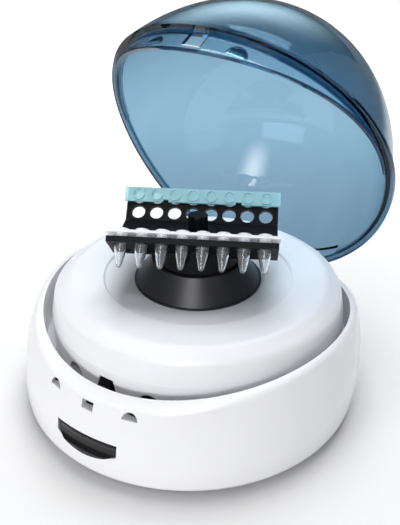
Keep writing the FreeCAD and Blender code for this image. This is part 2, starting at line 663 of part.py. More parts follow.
def make_motor_cone():
    body = new_body("cone")
    lip_top = "dish_height + cone_lip"
    revolve(body, [
        ("dish_hole - plate_gap", "dish_height"), ("dish_hole - plate_gap", "dish_height - spigot_depth"),
        ("dish_hole - plate_gap - cone_wall", "dish_height - spigot_depth"),
        ("dish_hole - plate_gap - cone_wall", "dish_height + cone_wall"),
        ("cone_foot - cone_wall * 1.6", "dish_height + cone_wall"),
        ("cone_neck - cone_wall / 2", CONE_TOP + " - cone_wall"), ("cone_hole", CONE_TOP + " - cone_wall"),
        ("cone_hole", CONE_TOP), ("cone_neck", CONE_TOP), ("cone_foot", lip_top),
        ("cone_foot + cone_lip", lip_top), ("cone_foot + cone_lip", "dish_height")], "cone_profile")
    round_edges(body, "cone_lip", "cone_neck_round", level_ring("cone_neck", CONE_TOP))
    return keep(body, "motor_cone")


# Rotor: a folded sheet with a drum below it, two wings and four rows of tube holes

def wing_point(out, down):
    # A place on the wing, out along it from the bend and down below its top face
    turn = "wing_angle * 1 deg"
    y = "bend_place + (%s) * cos(%s) + (%s) * sin(%s)" % (out, turn, down, turn)
    z = "floor_height + (%s) * sin(%s) - (%s) * cos(%s)" % (out, turn, down, turn)
    return y, z


def make_strip_rotor():
    body = new_body("rotor")
    drum_low = CONE_TOP + " + drum_gap"
    wing_length = "wing_rise / sin(wing_angle * 1 deg)"
    drum_top = "floor_height + wing_rise"
    revolve(body, [("drum_radius - drum_wall", drum_low), ("drum_radius", drum_low),
                   ("drum_radius", drum_top), ("drum_radius - drum_wall", drum_top)], "rotor_drum")
    above = new_sketch(body, "rotor_fold", "YZ_Plane")
    out_y, out_z = wing_point(wing_length + " * 1.4", "rotor_wall / 2")
    fold_y = "bend_place + rotor_wall / 2 * tan(wing_angle / 2 * 1 deg)"
    fold_z = "floor_height - rotor_wall / 2"
    add_outline(above, [("-(%s)" % out_y, out_z), ("-(%s)" % fold_y, fold_z), (fold_y, fold_z),
                        (out_y, out_z)])
    pocket(body, above, "rotor_length", SideType="Symmetric")
    sheet_metal = new_sketch(body, "rotor_sheet", "YZ_Plane")
    edge_y, edge_z = wing_point(wing_length, "0")
    under_y, under_z = wing_point(wing_length, "rotor_wall")
    bend_y = "bend_place + rotor_wall * tan(wing_angle / 2 * 1 deg)"
    add_outline(sheet_metal, [
        ("-bend_place", "floor_height"), ("bend_place", "floor_height"), (edge_y, edge_z),
        (under_y, under_z), (bend_y, ROTOR_UNDER), ("-(%s)" % bend_y, ROTOR_UNDER),
        ("-(%s)" % under_y, under_z), ("-(%s)" % edge_y, edge_z)])
    pad(body, sheet_metal, "rotor_length", SideType="Symmetric")
    boss = new_sketch(body, "rotor_boss", lift="floor_height")
    add_circle(boss, "rotor_boss_radius")
    pad(body, boss, "rotor_boss_height")
    for word, side, tilt_axis in (("rear", "", X_AXIS), ("front", "-", MINUS_X)):
        row = new_sketch(body, "rotor_row_" + word)
        row.AttachmentOffset = FreeCAD.Placement(FreeCAD.Vector(), FreeCAD.Rotation(tilt_axis, 1))
        bind(row, AttachmentOffset__Base__y=side + "bend_place", AttachmentOffset__Base__z="floor_height",
             AttachmentOffset__Rotation__Angle="wing_angle * 1 deg")
        for place in ("row_place", "row_place + row_pitch"):
            add_circle(row, "hole_radius", "-tube_pitch * (tube_count - 1) / 2", "%s(%s)" % (side, place))
        holes = pocket(body, row, "tube_depth * 1.05")
        repeat_row(body, holes, "tube_pitch * (tube_count - 1)", "tube_count", "rotor_holes_" + word)
    bore = new_sketch(body, "rotor_bore", lift=KNOB_FOOT)
    add_circle(bore, "shaft_radius + shaft_fit")
    pocket(body, bore, "rotor_wall + rotor_boss_height + 1")
    return keep(spun("rotor_turned", body), "strip_rotor")


def make_hub_knob():
    body = new_body("knob")
    top = KNOB_FOOT + " + knob_height"
    revolve(body, [("0", KNOB_FOOT), ("knob_radius", KNOB_FOOT), ("knob_radius", top), ("0", top)],
            "knob_profile")
    round_edges(body, "knob_round", "knob_top", level_ring("knob_radius", top))
    flute = new_sketch(body, "knob_flute", lift=top)
    add_circle(flute, "flute_radius", "knob_radius + flute_radius - flute_depth")
    groove = pocket(body, flute, "knob_height")
    repeat_polar(body, groove, "knob_flutes", "knob_flute_ring")
    bore = new_sketch(body, "knob_bore", lift=KNOB_FOOT)
    add_circle(bore, "shaft_radius + shaft_fit")
    pocket(body, bore, "shaft_grip", Reversed=True)
    return keep(spun("knob_turned", body), "hub_knob")


# Strips of eight tubes in the outer rows, each with a strip of caps

FIRST_TUBE = "-tube_pitch * (tube_count - 1) / 2"
TUBE_ROW = "tube_pitch * (tube_count - 1)"


def on_wing(name, body, side, label):
    # Stand a strip drawn upright on the wing's outer row, then turn it with the rotor
    y, z = wing_point("row_place + row_pitch", "0")
    body.Placement.Rotation = FreeCAD.Rotation(X_AXIS if side == "" else MINUS_X, 1)
    bind(body, Placement__Base__y="%s(%s)" % (side, y), Placement__Base__z=z,
         Placement__Rotation__Angle="wing_angle * 1 deg")
    return keep(spun(name + "_turned", body), label)


def make_tube_strip(word, side):
    name = "tubes_" + word
    body = new_body(name)
    bore = "tube_radius - tube_wall"
    tube = revolve(body, [
        (bore, "tube_neck"), ("tube_radius", "tube_neck"), ("tube_radius", "collar_thick"),
        ("collar_radius", "collar_thick"), ("collar_radius", "0"), ("tube_radius", "0"),
        ("tube_waist", "-tube_waist_depth"), ("tube_tip", "tube_tip / 2 - tube_depth"),
        ("tube_tip / 2", "-tube_depth"), ("0", "-tube_depth"), ("0", "tube_wall - tube_depth"),
        ("tube_tip - tube_wall", "tube_wall + tube_tip / 2 - tube_depth"),
        ("tube_waist - tube_wall", "-tube_waist_depth")], name + "_profile", FIRST_TUBE)
    repeat_row(body, tube, TUBE_ROW, "tube_count", name + "_row")
    web = new_sketch(body, name + "_web")
    add_box(web, FIRST_TUBE + " + collar_radius * 0.9", FIRST_TUBE + " + tube_pitch - collar_radius * 0.9",
            "-web_width / 2", "web_width / 2")
    bridge = pad(body, web, "collar_thick")
    repeat_row(body, bridge, "tube_pitch * (tube_count - 2)", "tube_count - 1", name + "_webs")
    return on_wing(name, body, side, "tube_strip_" + word)


def make_cap_strip(word, side):
    name = "caps_" + word
    body = new_body(name)
    half = "cap_width / 2"
    inner = "-1" if side == "" else "1"
    bar = new_sketch(body, name + "_bar", lift="tube_neck")
    add_box(bar, "-cap_length / 2", "cap_length / 2", "-" + half, half)
    pad(body, bar, "cap_thick")
    notch = new_sketch(body, name + "_notch", lift="tube_neck + cap_thick")
    for place in ("-notch_place", "notch_place"):
        add_box(notch, place + " - notch_width / 2", place + " + notch_width / 2",
                "%s * (%s - notch_depth)" % (inner, half), "%s * (%s + 1)" % (inner, half))
    pocket(body, notch, "cap_thick")
    plug = new_sketch(body, name + "_plug", lift="tube_neck")
    add_circle(plug, "plug_radius", FIRST_TUBE)
    plugs = pad(body, plug, "plug_depth", Reversed=True)
    repeat_row(body, plugs, TUBE_ROW, "tube_count", name + "_plugs")
    disc = new_sketch(body, name + "_disc", lift="tube_neck + cap_thick")
    add_circle(disc, "cap_radius", FIRST_TUBE)
    add_circle(disc, "cap_dish", FIRST_TUBE)
    raised = pad(body, disc, "cap_rise")
    repeat_row(body, raised, TUBE_ROW, "tube_count", name + "_discs")
    return on_wing(name, body, side, "cap_strip_" + word)


# Dome: a leaning half egg with a bead on its saddle edge, a lip inside the rim and two hinge ears

def egg(name, grow):
    made = document.addObject("Part::Ellipsoid", name)
    made.Angle1 = -90
    made.Placement.Rotation = FreeCAD.Rotation(MINUS_X, 1)
    return bind(made, Radius1="dome_rise" + grow, Radius2="dome_radius" + grow,
                Placement__Base__y="-dome_shift", Placement__Base__z="dome_centre",
                Placement__Rotation__Angle="dome_lean * 1 deg")


def band(name, outer, inner, back):
    # An upright ring about the dome's own axis, in front of a given depth
    shell = cut(name + "_ring",
                upright(name + "_outer", outer, "shelf_height - 4", "arch_top + 10", y="-groove_shift"),
                upright(name + "_inner", inner, "shelf_height - 5", "arch_top + 11", y="-groove_shift"))
    front = block(name + "_front", "-hem_radius", "hem_radius", "-hem_radius * 1.2", back,
                  "shelf_height - 6", "arch_top + 12")
    return common(name, shell, front)


def make_lid_dome():
    outer = egg("dome_outer", "")
    walls = cut("dome_walls", outer, egg("dome_inner", " - dome_wall"))
    bead = band("dome_bead", "bead_radius", "bead_inner", "hem_radius")
    flange = band("dome_flange", "bead_radius", "lip_inner", "-arch_shift")
    below_top = arch_cylinder("dome_edge_top", "seat_gap + bead_height")
    edge = common("dome_edge", fuse("dome_edge_rings", bead, flange), below_top)
    seat = arch_cylinder("dome_seat", "seat_gap")
    upper = cut("dome_upper", fuse("dome_and_edge", walls, edge), seat)
    lip_ring = band("dome_lip_ring", "lip_outer", "lip_inner", "-arch_shift")
    lug_ring = band("dome_lug_ring", "lip_outer + lug_proud", "lip_inner", "-arch_shift")
    lugs = common("dome_lugs", lug_ring, half_moons("dome_lug", "lug_radius", "lug_height",
                                                  "lip_inner - 10", "lip_outer + 4"))
    saddle = lying("dome_saddle", "lip_arc", "-hem_radius * 1.2", "hem_radius * 1.2", "-arch_shift",
                   "arch_top - lip_arc")
    lip = cut("dome_lip", common("dome_lip_low", lip_ring, arch_cylinder("dome_lip_top", "bead_height")),
              saddle)
    catch = block("dome_catch", "-catch_half", "catch_half", "-lip_outer - 6", "-lip_inner + 6",
                  "catch_low", "catch_high")
    lipped = cut("dome_lip_open", fuse("dome_lip_lugs", lip, lugs), catch)
    gap = block("dome_gap", "-gap_half", "gap_half", "hinge_back - 8", "hem_radius * 1.2",
                "arch_top - 20", "gap_top")
    relief = common("dome_relief",
                    upright("dome_relief_round", "bead_inner", "arch_top - 20", "gap_top", y="-groove_shift"),
                    block("dome_relief_rear", "-relief_half", "relief_half", "hinge_back - 8",
                          "hem_radius * 1.2", "arch_top - 20", "gap_top"))
    open_rear = cut("dome_open_rear", fuse("dome_lipped", upper, lipped),
                    fuse("dome_rear_tools", gap, relief))
    arms = []
    eyes = []
    bores = []
    for word, side in (("left", "-"), ("right", "")):
        left = "%sear_place - ear_half" % side
        right = "%sear_place + ear_half" % side
        arms.append(prism("dome_arm_" + word, [
            ("hinge_place - 2.2", "hinge_height + 2.7"), ("hinge_place + 2.5", "hinge_height - 2.5"),
            ("bead_radius", "ear_root_low"), ("bead_radius", "ear_root_high")], left, right))
        eyes.append(lying("dome_eye_" + word, "eye_radius", left, right, "hinge_place", "hinge_height"))
        bores.append(lying("dome_bore_" + word, "pin_radius + pin_fit", left + " - 1", right + " + 1",
                           "hinge_place", "hinge_height"))
    roots = common("dome_ear_roots", outer, fuse("dome_arms", *arms))
    solid = fuse("dome_solid", open_rear, roots, *eyes)
    closed = cut("dome_closed", solid, fuse("dome_bores", *bores))
    opened = group("dome_opened", [closed])
    opened.Placement.Rotation = FreeCAD.Rotation(MINUS_X, 1)
    turn = "open_angle * 1 deg"
    bind(opened, Placement__Rotation__Angle=turn,
         Placement__Base__y="hinge_place - hinge_place * cos(%s) - hinge_height * sin(%s)" % (turn, turn),
         Placement__Base__z="hinge_height + hinge_place * sin(%s) - hinge_height * cos(%s)" % (turn, turn))
    return keep(opened, "lid_dome")


# Hinge bracket behind the cover, with three pin supports between and beside the dome's ears

def make_hinge_bracket():
    back = block("hinge_back", "-hinge_plate_half", "hinge_plate_half", "hinge_back",
                 "hinge_back + hinge_wall", "shelf_height", "dish_height - alcove_drop - alcove_room")
    solids = [back]
    inner = "ear_place - ear_half - ear_room"
    outer = "ear_place + ear_half + ear_room"
    for word, left, right in (("left", "-hinge_half", "-(%s)" % outer),
                              ("middle", "-(%s)" % inner, inner), ("right", outer, "hinge_half")):
        solids.append(lying("hinge_eye_" + word, "eye_radius", left, right, "hinge_place", "hinge_height"))
        solids.append(block("hinge_arm_" + word, left, right, "hinge_back + hinge_wall / 2", "hinge_place",
                            "hinge_height - eye_radius", "hinge_height + eye_radius"))
    for word, side in (("left", "-"), ("right", "")):
        foot = block("hinge_foot_" + word, side + "hinge_foot_place - hinge_foot_half",
                     side + "hinge_foot_place + hinge_foot_half", "hinge_back", "hinge_foot_back",
                     "shelf_height", "shelf_height + hinge_foot_thick")
        hole = upright("hinge_hole_" + word, "screw_radius + screw_room", "shelf_height - 1",
                       "shelf_height + hinge_foot_thick + 1", side + "hinge_foot_place",
                       "hinge_screw_back")
        solids.append(cut("hinge_drilled_" + word, foot, hole))
    bore = lying("hinge_bore", "pin_radius + press_fit", "-hinge_half - 1", "hinge_half + 1",
                 "hinge_place", "hinge_height")
    return keep(cut("hinge_bored", fuse("hinge_solid", *solids), bore), "hinge_bracket")


def make_hinge_pin():
    return keep(lying("pin", "pin_radius", "-hinge_half", "hinge_half", "hinge_place", "hinge_height"),
                "hinge_pin")


# Front push, the latch behind it and its spring

def make_release_button():
    skin = barrel("push_skin", "push_proud")
    face = common("push_face", skin, crescent("push_outline", "0", "-hem_radius - hem_shift - 4",
                                              "push_rim_thick / 2 - (%s)" % PUSH_FRONT))
    scoop = document.addObject("Part::Torus", "push_scoop")
    bind(scoop, Radius1="belly_radius + push_proud + scoop_radius - scoop_depth", Radius2="scoop_radius",
         Placement__Base__y="-belly_shift", Placement__Base__z="push_top - scoop_drop")
    rim = crescent("push_rim", "push_rim", "-(%s)" % PUSH_FRONT, "push_rim_thick - (%s)" % PUSH_FRONT)
    return keep(fuse("push", cut("push_scooped", face, scoop), rim), "release_button")


def make_latch_slide():
    front = "push_rim_thick - (%s)" % PUSH_FRONT
    plate = block("slide_plate", "-slide_half", "slide_half", front, "-mast_place", "slide_height",
                  "slide_height + slide_thick")
    mast = block("slide_mast", "-mast_half", "mast_half", "-mast_place - mast_thick", "-mast_place",
                 "slide_height", "nose_high")
    nose = prism("slide_nose", [("-mast_place - mast_thick / 2", "nose_low"), ("-nose_reach", "nose_low"),
                                ("-nose_reach", "nose_high - nose_ramp"),
                                ("-nose_reach + nose_ramp", "nose_high"),
                                ("-mast_place - mast_thick / 2", "nose_high")], "-nose_half", "nose_half")
    bar = block("slide_bar", "-bar_half", "bar_half", "-mast_place - mast_thick", "-mast_place", "bar_low",
                "nose_high")
    return keep(fuse("slide", plate, mast, bar, nose), "latch_slide")


def make_return_spring():
    body = new_body("spring")
    wire = new_sketch(body, "spring_wire")
    add_circle(wire, "spring_wire", "spring_radius", "spring_wire + spring_room")
    feature(body, "AdditiveHelix", "spring_coil", Profile=wire, ReferenceAxis=(wire, ["V_Axis"]),
            Mode="height-turns-growth", Height="spring_length - (spring_wire + spring_room) * 2",
            Turns="spring_turns")
    bind(body, Placement__Base__y="-mast_place", Placement__Base__z="spring_height")
    return keep(body, "return_spring")


# Power inlet with its nut, and the rocker switch

def make_power_inlet():
    barrel_part = pointing("jack_barrel", "jack_radius", "rear_flat - jack_length",
                           "rear_flat + rear_flange", "-jack_place", "jack_height")
    flange = pointing("jack_flange", "jack_flange", "rear_flat", "rear_flat + rear_flange", "-jack_place",
                      "jack_height")
    bore = pointing("jack_bore", "jack_bore", "rear_flat + rear_flange - jack_depth",
                    "rear_flat + rear_flange + 1", "-jack_place", "jack_height")
    pin = pointing("jack_pin", "jack_pin", "rear_flat - jack_depth", "rear_flat + rear_flange - 1",
                   "-jack_place", "jack_height")
    hollow = cut("jack_hollow", fuse("jack_solid", barrel_part, flange), bore)
    return keep(fuse("jack", hollow, pin), "power_inlet")


def make_inlet_nut():
    nut = document.addObject("Part::Prism", "nut_hex")
    nut.Polygon = 6
    nut.Placement.Rotation = FreeCAD.Rotation(X_AXIS, -90)
    bind(nut, Circumradius="nut_radius", Height="nut_thick", Placement__Base__x="-jack_place",
         Placement__Base__y="rear_flat - rear_wall - nut_thick", Placement__Base__z="jack_height")
    thread = pointing("nut_thread", "jack_radius + thread_room", "rear_flat - rear_wall - nut_thick - 1",
                      "rear_flat - rear_wall + 1", "-jack_place", "jack_height")
    return keep(cut("nut", nut, thread), "inlet_nut")


def rocker_box(name, grow, front, back):
    return block(name, "rocker_place - rocker_half_wide - (%s)" % grow,
                 "rocker_place + rocker_half_wide + " + grow, front, back,
                 "jack_height - rocker_half_tall - (%s)" % grow, "jack_height + rocker_half_tall + " + grow)


ROCKER_PIVOT = "rear_flat + rear_flange - rocker_axle_depth"


def make_switch_frame():
    case = rocker_box("frame_case", "rocker_wall", "rear_flat - rocker_depth", "rear_flat + rear_flange")
    rim = rocker_box("frame_rim", "rocker_wall + rocker_rim", "rear_flat", "rear_flat + rear_flange")
    well = rocker_box("frame_well", "0", "rear_flat + rear_flange - rocker_well",
                      "rear_flat + rear_flange + 1")
    axle = lying("frame_axle", "rocker_axle + thread_room",
                 "rocker_place - rocker_half_wide - rocker_wall * 0.6",
                 "rocker_place + rocker_half_wide + rocker_wall * 0.6", ROCKER_PIVOT, "jack_height")
    tools = fuse("frame_tools", well, axle)
    return keep(cut("frame", fuse("frame_solid", case, rim), tools), "switch_frame")


def make_rocker_key():
    tip = "rocker_half_tall - rocker_short"
    face = "rocker_axle_depth + rocker_proud"
    key = prism("key", [(face, tip), ("%s - rocker_dip" % face, "0"), (face, "-(%s)" % tip),
                        ("0", "-(%s)" % tip), ("-rocker_axle * 2", "-rocker_axle"),
                        ("-rocker_axle * 2", "rocker_axle"), ("0", tip)],
                "-rocker_half_wide + rocker_room", "rocker_half_wide - rocker_room")
    axle = lying("key_axle", "rocker_axle", "-rocker_half_wide - rocker_wall * 0.5",
                 "rocker_half_wide + rocker_wall * 0.5", "0", "0")
    tilted = group("key_tilted", [fuse("key_solid", key, axle)])
    tilted.Placement.Rotation = FreeCAD.Rotation(X_AXIS, 1)
    bind(tilted, Placement__Base__x="rocker_place", Placement__Base__y=ROCKER_PIVOT,
         Placement__Base__z="jack_height", Placement__Rotation__Angle="rocker_angle * 1 deg")
    return keep(tilted, "rocker_key")


# Control board on its posts

def make_control_board():
    body = new_body("board")
    slab = new_sketch(body, "board_slab", lift="board_height")
    add_box(slab, "board_left", "board_right", "board_front", "board_rear")
    pad(body, slab, "board_thick")
    holes = new_sketch(body, "board_holes", lift="board_height")
    for across, along in CORNERS:
        add_circle(holes, "screw_radius + screw_room", *board_corner(across, along))
    pocket(body, holes, "board_thick", Reversed=True)
    middle = "(board_left + board_right) / 2"
    chips = new_sketch(body, "board_chips", lift="board_height + board_thick")
    for place in ("board_front + chip_half * 3", "board_rear - chip_half * 3"):
        add_box(chips, middle + " - chip_half", middle + " + chip_half", place + " - chip_half",
                place + " + chip_half")
    pad(body, chips, "chip_tall")
    drum = new_sketch(body, "board_drum", lift="board_height + board_thick")
    add_circle(drum, "drum_cap_radius", middle, "(board_front + board_rear) / 2")
    pad(body, drum, "drum_cap_tall")
    return keep(body, "control_board")


# Screws

def make_screws():
    housing = []
    board = []
    for index, (across, along) in enumerate(CORNERS):
        x, y = corner_place("boss_place", across, along)
        housing.append(screw("housing_screw_%d" % index, x, y, "foot_height", "screw_length", False))
        x, y = board_corner(across, along)
        board.append(screw("board_screw_%d" % index, x, y, "board_height + board_thick",
                           "board_screw_length", True))
    keep(group("housing_screw_set", housing), "housing_screws")
    keep(group("board_screw_set", board), "board_screws")
    bracket = []
    for index in range(3):
        x = "bracket_screw_place * cos(%d * 1 deg)" % (120 * index)
        y = "bracket_screw_place * sin(%d * 1 deg)" % (120 * index)
        bracket.append(screw("bracket_screw_%d" % index, x, y, CAN_TOP, "short_screw", False))
    keep(group("bracket_screw_set", bracket), "bracket_screws")
    motor = [screw("motor_screw_" + word, side + "motor_screw_place", "0", DISH_UNDER, "motor_screw_length",
                   True) for word, side in (("left", "-"), ("right", ""))]
    keep(group("motor_screw_set", motor), "motor_screws")
    hinge = [screw("hinge_screw_" + word, side + "hinge_foot_place", "hinge_screw_back",
                   "shelf_height + hinge_foot_thick", "hinge_screw_length", True)
             for word, side in (("left", "-"), ("right", ""))]
    keep(group("hinge_screw_set", hinge), "hinge_screws")


make_base_housing()
make_bottom_plate()
make_rubber_feet()
make_top_cover()
make_motor_bracket()
make_motor_can()
make_motor_endcap()
make_motor_rings()
make_motor_armature()
make_motor_shaft()
make_motor_cone()
make_strip_rotor()
make_hub_knob()
for strip, wing in (("rear", ""), ("front", "-")):
    make_tube_strip(strip, wing)
    make_cap_strip(strip, wing)
make_lid_dome()
make_hinge_bracket()
make_hinge_pin()
make_release_button()
make_latch_slide()
make_return_spring()
make_power_inlet()
make_inlet_nut()
make_switch_frame()
make_rocker_key()
make_control_board()
make_screws()
document.recompute()

# Every object must be sound before any file is written
for made in document.Objects:
    if {"Invalid", "Error"}.intersection(made.State):
        raise RuntimeError("%s is %s" % (made.Name, made.State))
for piece in PIECES:
    if piece.Shape.isNull() or not piece.Shape.isValid() or not piece.Shape.Solids:
        raise RuntimeError(piece.Label + " has no sound shape")

os.makedirs("parts", exist_ok=True)
for piece in PIECES:
    piece.Shape.exportStep("parts/%s.step" % piece.Label)
    print(piece.Label, len(piece.Shape.Solids), round(piece.Shape.Volume, 1))
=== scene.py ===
import bpy
import math
import numpy as np
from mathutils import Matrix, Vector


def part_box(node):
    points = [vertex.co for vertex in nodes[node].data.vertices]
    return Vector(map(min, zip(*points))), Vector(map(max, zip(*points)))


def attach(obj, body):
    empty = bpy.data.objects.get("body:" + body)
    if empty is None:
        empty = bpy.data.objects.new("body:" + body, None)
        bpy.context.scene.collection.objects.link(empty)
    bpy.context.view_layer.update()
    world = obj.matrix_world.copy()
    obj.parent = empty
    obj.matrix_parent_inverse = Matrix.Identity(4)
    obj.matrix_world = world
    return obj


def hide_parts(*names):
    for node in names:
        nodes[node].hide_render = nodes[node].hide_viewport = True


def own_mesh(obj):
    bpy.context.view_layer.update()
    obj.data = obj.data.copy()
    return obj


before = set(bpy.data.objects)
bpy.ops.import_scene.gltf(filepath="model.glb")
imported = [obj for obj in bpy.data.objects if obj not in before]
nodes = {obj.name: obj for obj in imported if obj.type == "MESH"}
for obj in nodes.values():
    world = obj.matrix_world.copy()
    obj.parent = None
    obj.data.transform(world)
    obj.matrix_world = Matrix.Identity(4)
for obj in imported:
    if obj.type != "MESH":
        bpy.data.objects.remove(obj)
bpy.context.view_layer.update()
print("frame loaded:", len(nodes), "nodes")


# shader groups shared by several finishes

def newGroup(name, inputs, outputs):
    group = bpy.data.node_groups.new(name, "ShaderNodeTree")
    for label, kind, value in inputs:
        socket = group.interface.new_socket(label, in_out="INPUT", socket_type=kind)
        socket.default_value = value
    for label, kind in outputs:
        group.interface.new_socket(label, in_out="OUTPUT", socket_type=kind)
    return group, group.nodes.new("NodeGroupOutput")


noiseDetail = dict(slow=3, fine=2)


def mouldGroup():
    # slow mottle in colour and gloss, fine grain in height, all on Object coordinates
    group, made = newGroup(
        "mouldedSurface",
        [("Colour", "NodeSocketColor", (0.8, 0.8, 0.8, 1)), ("Deep", "NodeSocketColor", (0.7, 0.7, 0.7, 1)),
         ("Rough", "NodeSocketFloat", 0.3), ("RoughSpread", "NodeSocketFloat", 0.05),
         ("Mottle", "NodeSocketFloat", 30.0), ("Grain", "NodeSocketFloat", 900.0)],
        [("Colour", "NodeSocketColor"), ("Roughness", "NodeSocketFloat"), ("Height", "NodeSocketFloat")])
    tree, link = group.nodes, group.links.new
    given = tree.new("NodeGroupInput")
    place = tree.new("ShaderNodeTexCoord")
    slow = tree.new("ShaderNodeTexNoise")
    slow.inputs["Detail"].default_value = noiseDetail["slow"]
    fine = tree.new("ShaderNodeTexNoise")
    fine.inputs["Detail"].default_value = noiseDetail["fine"]
    blend = tree.new("ShaderNodeMix")
    blend.data_type = "RGBA"
    spread = tree.new("ShaderNodeMath")
    spread.operation = "MULTIPLY_ADD"
    link(place.outputs["Object"], slow.inputs["Vector"])
    link(place.outputs["Object"], fine.inputs["Vector"])
    link(given.outputs["Mottle"], slow.inputs["Scale"])
    link(given.outputs["Grain"], fine.inputs["Scale"])
    link(slow.outputs["Fac"], blend.inputs["Factor"])
    link(given.outputs["Colour"], blend.inputs["A"])
    link(given.outputs["Deep"], blend.inputs["B"])
    link(slow.outputs["Fac"], spread.inputs[0])
    link(given.outputs["RoughSpread"], spread.inputs[1])
    link(given.outputs["Rough"], spread.inputs[2])
    link(blend.outputs["Result"], made.inputs["Colour"])
    link(spread.outputs["Value"], made.inputs["Roughness"])
    link(fine.outputs["Fac"], made.inputs["Height"])
    return group


moulded = mouldGroup()

saddle = dict(hinge=(0.0, 0.0668, 0.0443), turn=64.0, shift=0.005, top=0.0487, radius=0.271, lipRadius=0.130,
              beadLow=-0.0008, beadHigh=0.0026, lipHigh=0.0013, blur=0.0007,
              moonPlace=0.020, moonLow=0.0345, moonRadius=0.0040, frontEdge=-0.03)


def rimShadeGroup(look):
    # The mask paints shade on the clear dome: dark lines along the bead and the lip edge, and a dark half
    # moon on each side over the lug. The place is turned shut, and its height above two arches gives the
    # bead and the lip edge; a half moon on each side is near a centre, above it and at the front
    # Lip is all that lies below the bead
    group, made = newGroup("saddleRimShade", [], [("Lip", "NodeSocketFloat"), ("Mask", "NodeSocketFloat")])
    tree, link = group.nodes, group.links.new
    place = tree.new("ShaderNodeTexCoord")
    shut = tree.new("ShaderNodeVectorRotate")
    shut.rotation_type = "X_AXIS"
    shut.inputs["Center"].default_value = look["hinge"]
    shut.inputs["Angle"].default_value = math.radians(look["turn"])
    link(place.outputs["Object"], shut.inputs["Vector"])

    def heightAbove(radius):
        # distance from the arch's axis, which runs across the object, less the arch's radius
        flat = tree.new("ShaderNodeVectorMath")
        flat.operation = "MULTIPLY_ADD"
        flat.inputs[1].default_value = (0, 1, 1)
        flat.inputs[2].default_value = (0, look["shift"], radius - look["top"])
        reach = tree.new("ShaderNodeVectorMath")
        reach.operation = "LENGTH"
        height = tree.new("ShaderNodeMath")
        height.operation = "SUBTRACT"
        height.inputs[1].default_value = radius
        link(shut.outputs["Vector"], flat.inputs[0])
        link(flat.outputs["Vector"], reach.inputs[0])
        link(reach.outputs["Value"], height.inputs[0])
        return height.outputs["Value"]

    def step(value, edge, first, last):
        # a soft step from first to last as the value passes the edge
        ramp = tree.new("ShaderNodeMapRange")
        ramp.interpolation_type = "SMOOTHSTEP"
        ramp.inputs["From Min"].default_value = edge - look["blur"] / 2
        ramp.inputs["From Max"].default_value = edge + look["blur"] / 2
        ramp.inputs["To Min"].default_value = first
        ramp.inputs["To Max"].default_value = last
        link(value, ramp.inputs["Value"])
        return ramp.outputs["Result"]

    def join(operation, first, second):
        both = tree.new("ShaderNodeMath")
        both.operation = operation
        link(first, both.inputs[0])
        link(second, both.inputs[1])
        return both.outputs["Value"]

    height = heightAbove(look["radius"])
    bead = join("MULTIPLY", step(height, look["beadLow"], 0, 1), step(height, look["beadHigh"], 1, 0))
    lipEdge = step(heightAbove(look["lipRadius"]), look["lipHigh"], 1, 0)
    axes = tree.new("ShaderNodeSeparateXYZ")
    link(shut.outputs["Vector"], axes.inputs["Vector"])
    mirrored = tree.new("ShaderNodeVectorMath")
    mirrored.operation = "ABSOLUTE"
    link(shut.outputs["Vector"], mirrored.inputs[0])
    centred = tree.new("ShaderNodeVectorMath")
    centred.operation = "MULTIPLY_ADD"
    centred.inputs[1].default_value = (1, 0, 1)
    centred.inputs[2].default_value = (-look["moonPlace"], 0, -look["moonLow"])
    link(mirrored.outputs["Vector"], centred.inputs[0])
    spread = tree.new("ShaderNodeVectorMath")
    spread.operation = "LENGTH"
    link(centred.outputs["Vector"], spread.inputs[0])
    moon = step(spread.outputs["Value"], look["moonRadius"], 1, 0)
    moon = join("MULTIPLY", moon, step(axes.outputs["Z"], look["moonLow"], 0, 1))
    moon = join("MULTIPLY", moon, step(axes.outputs["Y"], look["frontEdge"], 1, 0))
    link(step(height, look["beadLow"], 1, 0), made.inputs["Lip"])
    link(join("MAXIMUM", join("MAXIMUM", bead, lipEdge), moon), made.inputs["Mask"])
    return group


# the dome's rim group paints shade: dark lines on the bead and lip edge, and a dark half moon over each lug
domeRimShade = rimShadeGroup(saddle)

bumpDepth = 0.0002


